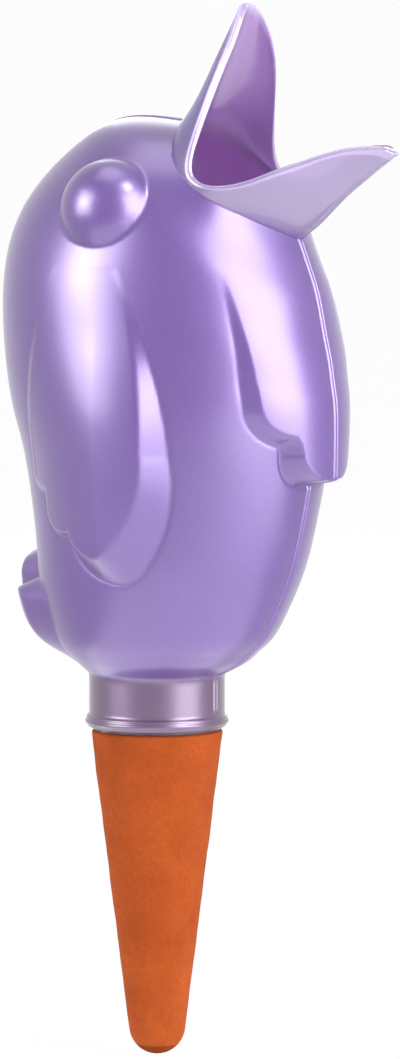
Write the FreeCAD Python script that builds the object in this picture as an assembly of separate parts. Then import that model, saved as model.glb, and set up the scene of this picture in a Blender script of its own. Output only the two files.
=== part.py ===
"""Bird-shaped watering globe: a moulded reservoir on a clay spike.

The reservoir is a bird that looks up with its beak wide open. Water is poured
into the beak, runs down through the body and the neck into a hollow clay cone,
and seeps through the clay into the soil.

Frame: +Z up along the axis of the clay cone, +X the way the beak points, and
the XZ plane is the plane of symmetry, where the two halves of the reservoir
meet. The origin lies on the cone's axis at the lower end of the neck, which is
the level of the soil. All lengths are in millimetres.
"""
import FreeCAD, Part

import math
import os

Vector = FreeCAD.Vector

# ---- Driving dimensions ----

# Body, from the top of the neck to the crown of the head
body_height = 142.7
body_depth = 87.8
body_width = 76.4
wall = 2.0

# Neck
neck_diameter = 34.6
neck_height = 13.8
bead_diameter = 36.8
bead_height = 3.2
lip_height = 0.6

# Clay cone and the sealant that bonds it
cone_diameter = 33.7
cone_length = 83.1
cone_tip_radius = 7.2
cone_wall = 3.4
cone_edge_radius = 1.0
spigot_height = 10.5
spigot_clearance = 0.4
sealant_gap = 1.3
sealant_recess = 1.3

# Beak
mouth_height = 45.0
mouth_width = 44.6
mouth_tilt = 42.5
beak_reach = 35.5

# Eyes
eye_diameter = 23.6
eye_height = 6.0
eye_tilt = 29.0

# Wings
wing_length = 78.0
wing_width = 43.0
wing_relief = 6.2

# Bib on the breast
bib_length = 55.0
bib_width = 50.0
bib_relief = 7.8

# Tail
tail_height = 30.0
tail_width = 36.0
tail_relief = 7.8

# One overrun for every cutting shape
overrun = 12.0

# ---- Shapes given as shares of the sizes above ----

# Sections of the body from the neck up to the mouth, which turn from level to
# the tilt of the mouth. Each row gives the chest point (x as a share of the
# body's depth, z as a share of its height above the neck), the back point in
# the same way, and the half width as a share of half the body's width. Then
# come the reliefs of wing, bib and tail, as shares of their heights.
SECTION_SHARES = [
    # chest x, z       back x, z        width   wing   bib    tail   keel
    (0.270, 0.022, -0.240, 0.022, 0.545, -0.50, 0.50, 0.00, 0.00),
    (0.310, 0.043, -0.280, 0.043, 0.610, 0.20, 0.80, 0.15, 0.00),
    (0.355, 0.070, -0.310, 0.070, 0.675, 0.70, 1.00, 0.45, 0.00),
    (0.400, 0.120, -0.335, 0.120, 0.740, 0.95, 1.10, 0.80, 0.00),
    (0.440, 0.175, -0.350, 0.175, 0.790, 1.00, 1.15, 1.00, 0.00),
    (0.470, 0.235, -0.355, 0.235, 0.825, 1.00, 1.15, 0.60, 0.00),
    (0.500, 0.320, -0.370, 0.320, 0.870, 0.97, 1.00, -0.20, 0.00),
    (0.525, 0.410, -0.395, 0.410, 0.925, 0.86, 0.80, -0.50, 0.00),
    (0.540, 0.490, -0.430, 0.490, 0.970, 0.68, 0.60, -0.50, 0.00),
    (0.540, 0.530, -0.460, 0.615, 0.995, 0.36, 0.48, -0.50, 0.00),
    (0.540, 0.570, -0.445, 0.745, 1.000, 0.10, 0.36, -0.50, 0.00),
    (0.535, 0.615, -0.370, 0.860, 0.955, -0.09, 0.23, -0.50, 0.00),
    (0.530, 0.670, -0.215, 0.955, 0.855, -0.28, 0.09, -0.50, 0.08),
    (0.515, 0.720, -0.075, 0.993, 0.720, -0.50, -0.04, -0.50, 0.25),
]

# Sections of the beak: distance beyond the mouth loop as a share of the reach,
# then lower height, upper height and half width as shares of half the mouth's
# height and width, and how far the lower side narrows to a keel.
BEAK_SHARES = [
    (-0.22, 0.95, 0.86, 0.96, 0.50),
    (0.00, 1.00, 0.91, 1.05, 0.58),
    (0.17, 1.05, 0.935, 1.065, 0.57),
    (0.40, 1.08, 1.02, 1.03, 0.66),
    (0.65, 1.14, 1.15, 0.925, 0.70),
    (0.90, 1.23, 1.295, 0.67, 0.50),
    (1.15, 1.33, 1.43, 0.46, 0.35),
]
MOUTH_KEEL_SHARE = 0.5

# Middle of the mouth loop: x out from the axis and z above the neck, as shares
# of the body's depth and height
MOUTH_CENTRE_SHARES = (0.287, 0.8914)

# The rim of the beak seen from the side, from the upper tip round the corner of
# the mouth to the lower tip, as shares of the reach and of half the height.
RIM_SHARES = [
    (0.93, 1.60), (0.925, 1.30), (0.885, 1.155), (0.787, 0.985), (0.67, 0.86), (0.48, 0.696),
    (0.32, 0.56), (0.156, 0.397), (0.042, 0.265), (-0.018, 0.155), (-0.022, 0.04),
    (0.005, -0.08), (0.08, -0.25), (0.21, -0.415), (0.365, -0.525), (0.48, -0.61),
    (0.62, -0.735), (0.745, -0.82), (0.83, -0.905), (0.935, -1.075), (0.985, -1.20),
    (1.00, -1.45),
]

# Outline of the right wing seen from its side: x from the cone's axis as a
# share of the wing's width, z above its lowest point as a share of its length.
# The first point starts the outline, a pair is an arc by way of its first point,
# and a single point is a straight stretch. The foot is where the wing leaves
# the body, the crest is the edge of its raised face.
WING_FOOT_SHARES = [
    [(0.23, 1.03)],
    [(0.455, 0.73), (0.525, 0.43)],
    [(0.455, 0.185), (0.186, 0.012)],
    [(0.00, 0.041), (-0.13, 0.122)],
    [(-0.135, 0.156)],
    [(-0.293, 0.164), (-0.351, 0.244)],
    [(-0.353, 0.292)],
    [(-0.447, 0.303), (-0.474, 0.359)],
    [(-0.423, 0.641), (-0.186, 1.03)],
]
WING_CREST_SHARES = [
    [(0.23, 1.03)],
    [(0.407, 0.73), (0.44, 0.43)],
    [(0.333, 0.205), (0.128, 0.100)],
    [(0.00, 0.105), (-0.107, 0.147)],
    [(-0.114, 0.172)],
    [(-0.274, 0.182), (-0.328, 0.256)],
    [(-0.330, 0.305)],
    [(-0.423, 0.320), (-0.456, 0.378)],
    [(-0.409, 0.654), (-0.163, 1.03)],
]

# Outline of the right half of the bib seen from the front: y as a share of its
# width, z above its lowest point as a share of its length.
BIB_FOOT_SHARES = [
    [(0.20, 1.03)],
    [(-0.508, 1.03)],
    [(-0.52, 0.66), (-0.49, 0.375)],
    [(-0.43, 0.20), (-0.28, 0.182)],
    [(-0.255, 0.142)],
    [(-0.195, 0.03), (-0.06, 0.00)],
    [(0.20, 0.00)],
]
BIB_CREST_SHARES = [
    [(0.20, 1.03)],
    [(-0.505, 1.03)],
    [(-0.50, 0.66), (-0.455, 0.335)],
    [(-0.39, 0.252), (-0.275, 0.246)],
    [(-0.258, 0.213)],
    [(-0.19, 0.085), (-0.05, 0.028)],
    [(0.20, 0.028)],
]

# Outline of the right half of the tail seen from behind, in the same way.
TAIL_FOOT_SHARES = [
    [(0.20, 0.00)],
    [(-0.22, 0.00)],
    [(-0.45, 0.25), (-0.535, 0.60)],
    [(-0.40, 0.835), (-0.215, 0.72)],
    [(-0.205, 0.78)],
    [(-0.13, 1.00), (0.00, 1.03)],
    [(0.20, 1.03)],
]
TAIL_CREST_SHARES = [
    [(0.20, 0.04)],
    [(-0.20, 0.04)],
    [(-0.42, 0.27), (-0.49, 0.60)],
    [(-0.38, 0.79), (-0.225, 0.68)],
    [(-0.200, 0.74)],
    [(-0.12, 0.955), (0.00, 0.98)],
    [(0.20, 0.98)],
]

# Places of the reliefs: their feet out from the cone's axis, and their lowest
# points above the neck as shares of the body's height
WING_DEPTH_SHARE = 0.81
BIB_DEPTH_SHARE = 0.43
TAIL_DEPTH_SHARE = 0.34
WING_LEVEL_SHARE = 0.1766
BIB_LEVEL_SHARE = 0.3476
TAIL_LEVEL_SHARE = 0.007

# Middle of the right eye on the head: x, y and z as shares of the body's depth,
# half its width and its height
EYE_CENTRE_SHARES = (0.023, 0.845, 0.852)

# Width of the narrow end of the pocket behind the eye, as a share of the eye's
EYE_POCKET_SHARE = 0.45

# How far the outlines of the reliefs reach in and out, in reliefs' heights
RELIEF_REACH_SHARES = (-1.6, 2.0)

# The neck runs up into the body.
NECK_LAP_SHARE = 0.75

# Bead round the neck: height from the lip to its top, and how far it stands out
BEAD_SHARES = [(0.0, 0.3), (0.15, 0.8), (0.38, 1.0), (0.62, 1.0), (0.85, 0.7), (1.0, 0.0)]

# The rounded edge and tip of the cone are turned in this many straight stretches.
ROUNDING_STEPS = 5

# The sealant's film reaches up most of the spigot.
SEALANT_RISE_SHARE = 0.8

# The body's dome closes behind the mouth loop: distance and size as shares of
# the mouth's height and of the loop's own size.
MOUTH_CLOSING_SHARES = [(0.0, 1.0), (0.07, 0.86), (0.11, 0.68)]

# The body's surface starts inside the neck, so that the two cross cleanly.
NECK_ROOT_SHARE = 0.80
NECK_ROOT_LEVEL_SHARE = 0.87

SECTION_POINTS = 16

# Bands between two listed sections; short ones keep the skin smooth
BANDS_PER_SECTION = 2


def mouth_frame():
    """Centre of the mouth loop, its outward axis and its upward direction."""
    tilt = math.radians(mouth_tilt)
    out, up = MOUTH_CENTRE_SHARES
    centre = Vector(out * body_depth, 0, neck_height + up * body_height)
    axis = Vector(math.sin(tilt), 0, math.cos(tilt))
    upward = Vector(-math.cos(tilt), 0, math.sin(tilt))
    return centre, axis, upward


def mouth_row(distance, lower_share, upper_share, width_share, keel):
    """One section across the mouth's axis, at a distance beyond the mouth loop."""
    centre, axis, upward = mouth_frame()
    middle = centre + axis * distance
    chest = middle - upward * (mouth_height / 2 * lower_share)
    back = middle + upward * (mouth_height / 2 * upper_share)
    return chest, back, width_share * mouth_width / 2, keel


def body_rows(wing=0.0, bib=0.0, tail=0.0):
    """Sections of the body, with the reliefs of wing, bib and tail added to them.

    The body closes as a dome just inside the mouth loop, where the beak covers it.
    """
    neck_radius = neck_diameter / 2
    root = Vector(NECK_ROOT_SHARE * neck_radius, 0, NECK_ROOT_LEVEL_SHARE * neck_height)
    rows = [(root, Vector(-root.x, 0, root.z), root.x, 0.0)]
    for shares in SECTION_SHARES:
        chest_x, chest_z, back_x, back_z, width, wing_share, bib_share, tail_share, keel = shares
        chest = Vector(chest_x * body_depth, 0, neck_height + chest_z * body_height)
        back = Vector(back_x * body_depth, 0, neck_height + back_z * body_height)
        forward = (chest - back).normalize()
        chest = chest + forward * (bib * bib_share)
        back = back - forward * (tail * tail_share)
        rows.append((chest, back, width * body_width / 2 + wing * wing_share, keel))
    for distance, size in MOUTH_CLOSING_SHARES:
        rows.append(mouth_row(distance * mouth_height, size, size, size, MOUTH_KEEL_SHARE))
    return rows


def beak_rows():
    """Sections of the flaring beak, from inside the head to beyond its tips."""
    rows = []
    for distance, lower, upper, width, keel in BEAK_SHARES:
        rows.append(mouth_row(distance * beak_reach, lower, upper, width, keel))
    return rows


def inset_rows(rows, inset):
    """The same sections, moved inward by a wall thickness square to the surface."""
    moved = []
    last = len(rows) - 1
    for index, (chest, back, width, keel) in enumerate(rows):
        before = rows[max(index - 1, 0)]
        after = rows[min(index + 1, last)]
        forward = (chest - back).normalize()
        chest_way = outward_normal(before[0], after[0], forward)
        back_way = outward_normal(before[1], after[1], forward * -1)
        run = ((after[0] + after[1]) - (before[0] + before[1])).Length / 2
        rise = after[2] - before[2]
        side_way = run / math.hypot(run, rise)
        moved.append((chest - chest_way * inset, back - back_way * inset,
                      width - side_way * inset, keel))
    return moved


def outward_normal(start, end, outside):
    """Unit normal in the XZ plane of the line from start to end, on the outer side."""
    along = (end - start).normalize()
    normal = Vector(along.z, 0, -along.x)
    if normal.dot(outside) < 0:
        normal = normal * -1
    return normal


def section_wire(chest, back, half_width, keel):
    """Closed section: an ellipse that narrows to a keel on the chest side."""
    middle = (chest + back) * 0.5
    reach = (chest - back) * 0.5
    points = []
    for step in range(SECTION_POINTS):
        turn = 2 * math.pi * step / SECTION_POINTS
        lean = max(0.0, math.cos(turn))
        side = half_width * math.sin(turn) * (1 - keel * lean ** 2)
        points.append(middle + reach * math.cos(turn) + Vector(0, side, 0))
    curve = Part.BSplineCurve()
    curve.interpolate(points, PeriodicFlag=True)
    return Part.Wire([curve.toShape()])


def curve_through(points):
    """Cubic curve with one whole step of its parameter from point to point."""
    curve = Part.BSplineCurve()
    curve.interpolate(Points=points, Parameters=[float(step) for step in range(len(points))])
    return curve


def between_rows(rows):
    """The listed sections with further ones between them, on smooth curves."""
    chests = curve_through([row[0] for row in rows])
    backs = curve_through([row[1] for row in rows])
    widths = curve_through([Vector(row[2], 0, step) for step, row in enumerate(rows)])
    keels = curve_through([Vector(row[3], 0, step) for step, row in enumerate(rows)])
    filled = []
    for band in range((len(rows) - 1) * BANDS_PER_SECTION + 1):
        place = band / BANDS_PER_SECTION
        keel = max(0.0, keels.value(place).x)
        filled.append((chests.value(place), backs.value(place), widths.value(place).x, keel))
    return filled


def loft(rows):
    """Solid through a list of sections, in narrow bands."""
    return Part.makeLoft([section_wire(*row) for row in between_rows(rows)], True, True)


def outline_wire(shares, place):
    """Closed wire of arcs and lines from an outline given as shares."""
    corner = place(*shares[0][0])
    start = corner
    edges = []
    for stretch in shares[1:]:
        end = place(*stretch[-1])
        if len(stretch) == 2:
            edges.append(Part.Arc(corner, place(*stretch[0]), end).toShape())
        else:
            edges.append(Part.makeLine(corner, end))
        corner = end
    edges.append(Part.makeLine(corner, start))
    return Part.Wire(edges)


def blended(foot, crest, amount):
    """Outline between foot (0) and crest (1), or beyond them."""
    mixed = []
    for foot_stretch, crest_stretch in zip(foot, crest):
        stretch = []
        for low, high in zip(foot_stretch, crest_stretch):
            stretch.append(tuple(a + (b - a) * amount for a, b in zip(low, high)))
        mixed.append(stretch)
    return mixed


def drafted_block(foot, crest, place_at):
    """Block with sloping sides through the foot and the crest of a relief."""
    wires = []
    for amount in RELIEF_REACH_SHARES:
        outline = blended(foot, crest, amount)
        wires.append(outline_wire(outline, lambda across, up: place_at(across, up, amount)))
    return Part.makeLoft(wires, True, True)


def shrunk(shape, along_x, along_y, along_z):
    """Copy of a shape, smaller about its middle by the given lengths."""
    box = shape.BoundBox
    middle = box.Center
    matrix = FreeCAD.Matrix()
    matrix.move(middle * -1)
    matrix.scale(1 - along_x / box.XLength, 1 - along_y / box.YLength, 1 - along_z / box.ZLength)
    matrix.move(middle)
    return shape.transformGeometry(matrix)


def wing_block():
    """Drafted outline of the right wing, from inside the body to beyond it."""
    def place_at(across, up, amount):
        out = WING_DEPTH_SHARE * body_width / 2 + wing_relief * amount
        level = neck_height + WING_LEVEL_SHARE * body_height
        return Vector(across * wing_width, -out, level + up * wing_length)
    return drafted_block(WING_FOOT_SHARES, WING_CREST_SHARES, place_at)


def bib_block():
    """Drafted outline of the bib's right half, a little over the middle."""
    def place_at(across, up, amount):
        out = BIB_DEPTH_SHARE * body_depth + bib_relief * amount
        level = neck_height + BIB_LEVEL_SHARE * body_height
        return Vector(out, across * bib_width, level + up * bib_length)
    return drafted_block(BIB_FOOT_SHARES, BIB_CREST_SHARES, place_at)


def tail_block():
    """Drafted outline of the tail's right half, a little over the middle."""
    def place_at(across, up, amount):
        out = TAIL_DEPTH_SHARE * body_depth + tail_relief * amount
        level = neck_height + TAIL_LEVEL_SHARE * body_height
        return Vector(-out, across * tail_width, level + up * tail_height)
    return drafted_block(TAIL_FOOT_SHARES, TAIL_CREST_SHARES, place_at)


def eye_form(inset):
    """Ball whose cap stands proud of the head as the right eye, or its hollow.

    The hollow is a plain tapered pocket that leaves the wall under the cap.
    """
    half = eye_diameter / 2
    height = eye_height + half ** 2 / body_width
    radius = (half ** 2 + height ** 2) / (2 * height)
    tilt = math.radians(eye_tilt)
    outward = Vector(0, -math.cos(tilt), math.sin(tilt))
    across, side, up = EYE_CENTRE_SHARES
    middle = Vector(across * body_depth, -side * body_width / 2, neck_height + up * body_height)
    if inset == 0:
        return Part.makeSphere(radius, middle - outward * (radius - eye_height))
    depth = height - inset
    narrow = EYE_POCKET_SHARE * half
    start = middle + outward * (eye_height - inset - depth)
    return Part.makeCone(half - inset, narrow, depth, start, outward)


def neck_solid():
    """Neck with its bead and lip, turned about the cone's axis."""
    radius = neck_diameter / 2
    top = neck_height + wall * NECK_LAP_SHARE
    proud = bead_diameter / 2 - radius
    profile = [Vector(0, 0, 0), Vector(radius + proud * BEAD_SHARES[0][1], 0, 0)]
    for rise, out in BEAD_SHARES:
        level = lip_height + (bead_height - lip_height) * rise
        profile.append(Vector(radius + proud * out, 0, level))
    profile += [Vector(radius, 0, top), Vector(0, 0, top)]
    return turned(profile)


def turned(profile):
    """Solid of revolution about the cone's axis from the corners of its profile."""
    face = Part.Face(Part.makePolygon(profile + profile[:1]))
    return face.revolve(Vector(0, 0, 0), Vector(0, 0, 1), 360)


def rounding(middle, radius, start, end):
    """Corners of an arc in the XZ plane, from one angle to another, in short stretches."""
    corners = []
    for step in range(ROUNDING_STEPS + 1):
        angle = start + (end - start) * step / ROUNDING_STEPS
        way = Vector(math.cos(angle), 0, math.sin(angle))
        corners.append(middle + way * radius)
    return corners


def mouth_cutter():
    """Everything in front of the rim of the beak, across the whole width."""
    centre, axis, upward = mouth_frame()

    def place(distance, height):
        return centre + axis * (distance * beak_reach) + upward * (height * mouth_height / 2)

    rim = Part.BSplineCurve()
    rim.interpolate([place(*shares) for shares in RIM_SHARES])
    upper_end = place(*RIM_SHARES[0])
    lower_end = place(*RIM_SHARES[-1])
    clear = axis * beak_reach
    edges = [
        rim.toShape(),
        Part.makeLine(lower_end, lower_end + clear),
        Part.makeLine(lower_end + clear, upper_end + clear),
        Part.makeLine(upper_end + clear, upper_end),
    ]
    face = Part.Face(Part.Wire(edges))
    half = mouth_width / 2 + overrun
    face.translate(Vector(0, -half, 0))
    return face.extrude(Vector(0, 2 * half, 0))


def bird_form(inset):
    """Right half of the bird as a closed form, or its hollow when inset by the wall."""
    narrowing = 2 * inset
    form = loft(inset_rows(body_rows(), inset))
    beak = loft(inset_rows(beak_rows(), inset))
    wing = loft(inset_rows(body_rows(wing=wing_relief), inset))
    bib = loft(inset_rows(body_rows(bib=bib_relief), inset))
    tail = loft(inset_rows(body_rows(tail=tail_relief), inset))
    wing_outline = wing_block()
    bib_outline = bib_block()
    tail_outline = tail_block()
    if inset > 0:
        wing_outline = shrunk(wing_outline, narrowing, 0, narrowing)
        bib_outline = shrunk(bib_outline, 0, narrowing, narrowing)
        tail_outline = shrunk(tail_outline, 0, narrowing, narrowing)
    parts = [beak, wing.common(wing_outline), bib.common(bib_outline),
             tail.common(tail_outline), eye_form(inset)]
    return form.fuse(parts)


def reservoir_half():
    """Right half of the reservoir: a moulded shell, open at the beak and the neck."""
    outside = bird_form(0).fuse(neck_solid())
    bore = Part.makeCylinder(neck_diameter / 2 - wall, neck_height + 2 * wall)
    hollow = bird_form(wall).fuse(bore)
    side = body_width + overrun
    right_side = Part.makeBox(4 * body_height, side, 4 * body_height,
                              Vector(-2 * body_height, -side, -body_height))
    shell = outside.common(right_side).cut(hollow)
    return shell.cut(mouth_cutter()).removeSplitter()


def tapered_tip(top_radius, top, bottom, tip_radius):
    """Taper of the cone's side, and the corners of its rounded tip."""
    tip_centre = Vector(0, 0, bottom + tip_radius)
    rise = top - tip_centre.z
    reach = math.hypot(top_radius, rise)
    taper = math.acos(tip_radius / reach) - math.atan2(rise, top_radius)
    return taper, rounding(tip_centre, tip_radius, -taper, -math.pi / 2)


def clay_cone():
    """Hollow clay spike with a spigot that stands in the neck."""
    shoulder = -sealant_gap
    tip = shoulder - cone_length
    radius = cone_diameter / 2
    spigot_radius = neck_diameter / 2 - wall - spigot_clearance
    taper, tip_corners = tapered_tip(radius, shoulder, tip, cone_tip_radius)
    edge_middle = Vector(radius - cone_edge_radius, 0, shoulder - cone_edge_radius)
    top = Vector(0, 0, spigot_height)
    outer = [top, Vector(spigot_radius, 0, spigot_height), Vector(spigot_radius, 0, shoulder)]
    outer += rounding(edge_middle, cone_edge_radius, math.pi / 2, -taper)
    outer += tip_corners
    inner_top_radius = radius - cone_wall / math.cos(taper)
    bore_radius = spigot_radius - cone_wall
    narrow = shoulder - (inner_top_radius - bore_radius) / math.tan(taper)
    _, hollow_corners = tapered_tip(bore_radius, narrow, tip + cone_wall,
                                    cone_tip_radius - cone_wall)
    inner = [top, Vector(bore_radius, 0, spigot_height), Vector(bore_radius, 0, narrow)]
    inner += hollow_corners
    return turned(outer).cut(turned(inner))


def sealant_ring():
    """Sealant between the clay spigot and the neck, and in the gap below the neck."""
    inner = neck_diameter / 2 - wall - spigot_clearance
    bore = neck_diameter / 2 - wall
    outer = neck_diameter / 2 - sealant_recess
    top = spigot_height * SEALANT_RISE_SHARE
    corners = [
        Vector(inner, 0, -sealant_gap), Vector(outer, 0, -sealant_gap), Vector(outer, 0, 0),
        Vector(bore, 0, 0), Vector(bore, 0, top), Vector(inner, 0, top),
    ]
    return turned(corners)


def main():
    """Build every piece and write it to its own file."""
    right_shell = reservoir_half()
    pieces = {
        "right_shell": right_shell,
        "left_shell": right_shell.mirror(Vector(0, 0, 0), Vector(0, 1, 0)),
        "clay_cone": clay_cone(),
        "sealant_ring": sealant_ring(),
    }
    os.makedirs("parts", exist_ok=True)
    for name, shape in pieces.items():
        print(f"{name}: {len(shape.Solids)} solid, {shape.Volume:.0f} mm3, valid {shape.isValid()}")
        shape.exportStep(f"parts/{name}.step")


main()
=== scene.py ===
# %% [markdown]
# # A bird-shaped watering globe
# The real object is a hollow bird of pearly violet plastic that looks up with its beak
# wide open. Water is poured into the beak, runs down through the neck and seeps out
# through a clay cone that stands in the soil. In this lesson each surface is worked out
# with numpy as a function of two parameters, and then gets a finish made of shader nodes.
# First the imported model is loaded, because every piece has to lie where it lies.

# %% Load the frame
import math

import bpy
import bmesh
import numpy as np
from mathutils import Matrix, Vector


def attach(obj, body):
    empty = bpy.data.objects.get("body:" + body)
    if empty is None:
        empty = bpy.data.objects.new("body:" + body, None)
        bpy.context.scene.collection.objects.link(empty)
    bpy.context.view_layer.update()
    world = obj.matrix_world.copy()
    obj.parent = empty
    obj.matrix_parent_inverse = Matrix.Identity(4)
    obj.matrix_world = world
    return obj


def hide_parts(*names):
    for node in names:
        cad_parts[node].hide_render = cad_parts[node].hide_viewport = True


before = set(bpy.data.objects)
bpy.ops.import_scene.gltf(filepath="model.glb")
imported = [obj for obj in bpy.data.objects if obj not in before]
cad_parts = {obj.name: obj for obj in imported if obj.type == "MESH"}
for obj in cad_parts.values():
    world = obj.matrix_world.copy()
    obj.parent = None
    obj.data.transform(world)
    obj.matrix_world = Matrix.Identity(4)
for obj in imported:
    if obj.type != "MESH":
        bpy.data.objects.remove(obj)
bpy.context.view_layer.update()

# %% [markdown]
# ## Sizes
# All sizes are in millimetres and turned into metres only when a mesh is made. They are
# the same as in the model: the height, depth and width of the body, the neck, and the
# mouth, whose axis leans forward by its tilt.

# %% Sizes in millimetres
MM = 0.001
BODY_HEIGHT, BODY_DEPTH, BODY_WIDTH = 142.7, 87.8, 76.4
WALL = 2.0
NECK_HEIGHT, NECK_RADIUS = 13.8, 17.3
MOUTH_HEIGHT, MOUTH_WIDTH, BEAK_REACH = 45.0, 44.6, 35.5
MOUTH_TILT = math.radians(42.5)
MOUTH_CENTRE = np.array([25.2, 0.0, 141.0])
MOUTH_AXIS = np.array([math.sin(MOUTH_TILT), 0.0, math.cos(MOUTH_TILT)])
MOUTH_UP = np.array([-math.cos(MOUTH_TILT), 0.0, math.sin(MOUTH_TILT)])
print("the mouth looks along", MOUTH_AXIS.round(3))

# %% [markdown]
# ## A smooth curve through listed values
# A blow-moulded body has no flat spots, so its sections change smoothly from the neck to
# the mouth. A natural cubic spline gives that: it passes through every listed value with
# the least bending, and it works on whole arrays at once.

# %% Smooth curve
def smooth_curve(knots, values):
    """Natural cubic spline: on each span the value is a weighted mean of both ends,
    plus a cubic term in their bending, and the bending is zero at both outer ends."""
    knots = np.asarray(knots, float)
    values = np.asarray(values, float)
    shape = values.shape[1:]
    values = values.reshape(len(knots), -1)
    step = np.diff(knots)
    system = np.eye(len(knots))
    right = np.zeros_like(values)
    inner = np.arange(1, len(knots) - 1)
    system[inner, inner - 1] = step[:-1]
    system[inner, inner] = 2 * (step[:-1] + step[1:])
    system[inner, inner + 1] = step[1:]
    slope = np.diff(values, axis=0) / step[:, None]
    right[1:-1] = 6 * (slope[1:] - slope[:-1])
    bend = np.linalg.solve(system, right)

    def curve(place):
        place = np.asarray(place, float)
        flat = place.ravel()
        k = np.clip(np.searchsorted(knots, flat) - 1, 0, len(step) - 1)
        h = step[k][:, None]
        a = (knots[k + 1] - flat)[:, None] / h
        b = 1 - a
        value = a * values[k] + b * values[k + 1]
        value = value + ((a**3 - a) * bend[k] + (b**3 - b) * bend[k + 1]) * h**2 / 6
        return value.reshape(place.shape + shape)

    return curve

# %% [markdown]
# ## Sections of the bird
# A section is an ellipse seen along the body: it runs from the chest point to the back
# point, and its half width is its third measure. Towards the chest it may narrow to a
# keel, as the lower half of the beak does. The sections start level at the neck and turn
# until they stand square to the mouth's axis.

# %% Sections as shares of the body's sizes
# chest x and z, back x and z, half width, keel
SECTION_SHARES = np.array([
    (0.270, 0.022, -0.240, 0.022, 0.545, 0.00),
    (0.310, 0.043, -0.280, 0.043, 0.610, 0.00),
    (0.355, 0.070, -0.310, 0.070, 0.675, 0.00),
    (0.400, 0.120, -0.335, 0.120, 0.740, 0.00),
    (0.440, 0.175, -0.350, 0.175, 0.790, 0.00),
    (0.470, 0.235, -0.355, 0.235, 0.825, 0.00),
    (0.500, 0.320, -0.370, 0.320, 0.870, 0.00),
    (0.525, 0.410, -0.395, 0.410, 0.925, 0.00),
    (0.540, 0.490, -0.430, 0.490, 0.970, 0.00),
    (0.540, 0.530, -0.4540, 0.615, 0.995, 0.00),
    (0.540, 0.570, -0.445, 0.745, 1.000, 0.00),
    (0.535, 0.615, -0.370, 0.860, 0.955, 0.00),
    (0.530, 0.670, -0.215, 0.955, 0.855, 0.08),
    (0.515, 0.720, -0.075, 0.993, 0.720, 0.25),
])
# distance beyond the mouth, lower height, upper height, half width, keel
BEAK_SHARES = np.array([
    (-0.22, 0.95, 0.86, 0.96, 0.50),
    (0.00, 1.00, 0.91, 1.05, 0.58),
    (0.17, 1.05, 0.935, 1.065, 0.57),
    (0.40, 1.08, 1.02, 1.03, 0.66),
    (0.65, 1.14, 1.15, 0.925, 0.70),
    (0.90, 1.23, 1.295, 0.67, 0.50),
    (1.15, 1.33, 1.43, 0.46, 0.35),
])
# the rim of the beak from the side: distance and height
RIM_SHARES = np.array([
    (0.93, 1.60), (0.925, 1.30), (0.885, 1.155), (0.787, 0.985), (0.67, 0.86), (0.48, 0.696),
    (0.32, 0.56), (0.156, 0.397), (0.042, 0.265), (-0.018, 0.155), (-0.022, 0.04),
    (0.005, -0.08), (0.08, -0.25), (0.21, -0.415), (0.365, -0.525), (0.48, -0.61),
    (0.62, -0.735), (0.745, -0.82), (0.83, -0.905), (0.935, -1.075), (0.985, -1.20),
    (1.00, -1.45),
])
RIM_SAMPLES = 800


def section(measures, turn):
    """Point of a section: its middle, plus its reach times the cosine of the turn,
    and sideways its half width times the sine, less at the keel."""
    chest_x, chest_z, back_x, back_z, width, keel = np.moveaxis(measures, -1, 0)
    lean = np.maximum(0, np.cos(turn))
    x = (chest_x + back_x) / 2 + (chest_x - back_x) / 2 * np.cos(turn)
    z = (chest_z + back_z) / 2 + (chest_z - back_z) / 2 * np.cos(turn)
    y = -width * np.sin(turn) * (1 - keel * lean**2)
    return np.stack([x, y, z], -1)


def body_measures():
    """Measures of the listed sections in millimetres, the ring on the neck first."""
    shares = SECTION_SHARES
    rows = np.stack([
        shares[:, 0] * BODY_DEPTH, NECK_HEIGHT + shares[:, 1] * BODY_HEIGHT,
        shares[:, 2] * BODY_DEPTH, NECK_HEIGHT + shares[:, 3] * BODY_HEIGHT,
        shares[:, 4] * BODY_WIDTH / 2, shares[:, 5]], -1)
    ring = [NECK_RADIUS, NECK_HEIGHT, -NECK_RADIUS, NECK_HEIGHT, NECK_RADIUS, 0.0]
    return np.vstack([ring, rows])


beak_curve = smooth_curve(BEAK_SHARES[:, 0] * BEAK_REACH, BEAK_SHARES[:, 1:])
rim_line = smooth_curve(np.arange(len(RIM_SHARES)), RIM_SHARES)(
    np.linspace(0, len(RIM_SHARES) - 1, RIM_SAMPLES))
rim_order = np.argsort(rim_line[:, 1])
RIM_HEIGHTS = rim_line[rim_order, 1] * MOUTH_HEIGHT / 2
RIM_DISTANCES = rim_line[rim_order, 0] * BEAK_REACH


def beak_measures(distance):
    """Measures of the beak's section at a distance beyond the mouth."""
    shares = beak_curve(distance)
    middle = MOUTH_CENTRE + MOUTH_AXIS * np.asarray(distance)[..., None]
    lower = middle - MOUTH_UP * shares[..., :1] * MOUTH_HEIGHT / 2
    upper = middle + MOUTH_UP * shares[..., 1:2] * MOUTH_HEIGHT / 2
    width = shares[..., 2] * MOUTH_WIDTH / 2
    return np.stack([lower[..., 0], lower[..., 2], upper[..., 0], upper[..., 2],
                     width, shares[..., 3]], -1)


print(len(SECTION_SHARES), "body sections and", len(BEAK_SHARES), "beak sections")

# %% [markdown]
# ## Columns that keep to the seam
# The two halves meet in a raised band down the middle. With 1.2 mm of it on each half it
# only looks crisp if the grid's columns run along it, so the first and last columns keep a
# fixed distance from the middle, and the others share out what is left between them.

# %% Columns
SEAM_COLUMNS = np.array([0.0, 0.2, 0.42, 0.62, 0.82, 0.98, 1.16, 1.5])
COLUMNS = 226
FRONT_CROWDING = 0.10


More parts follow.
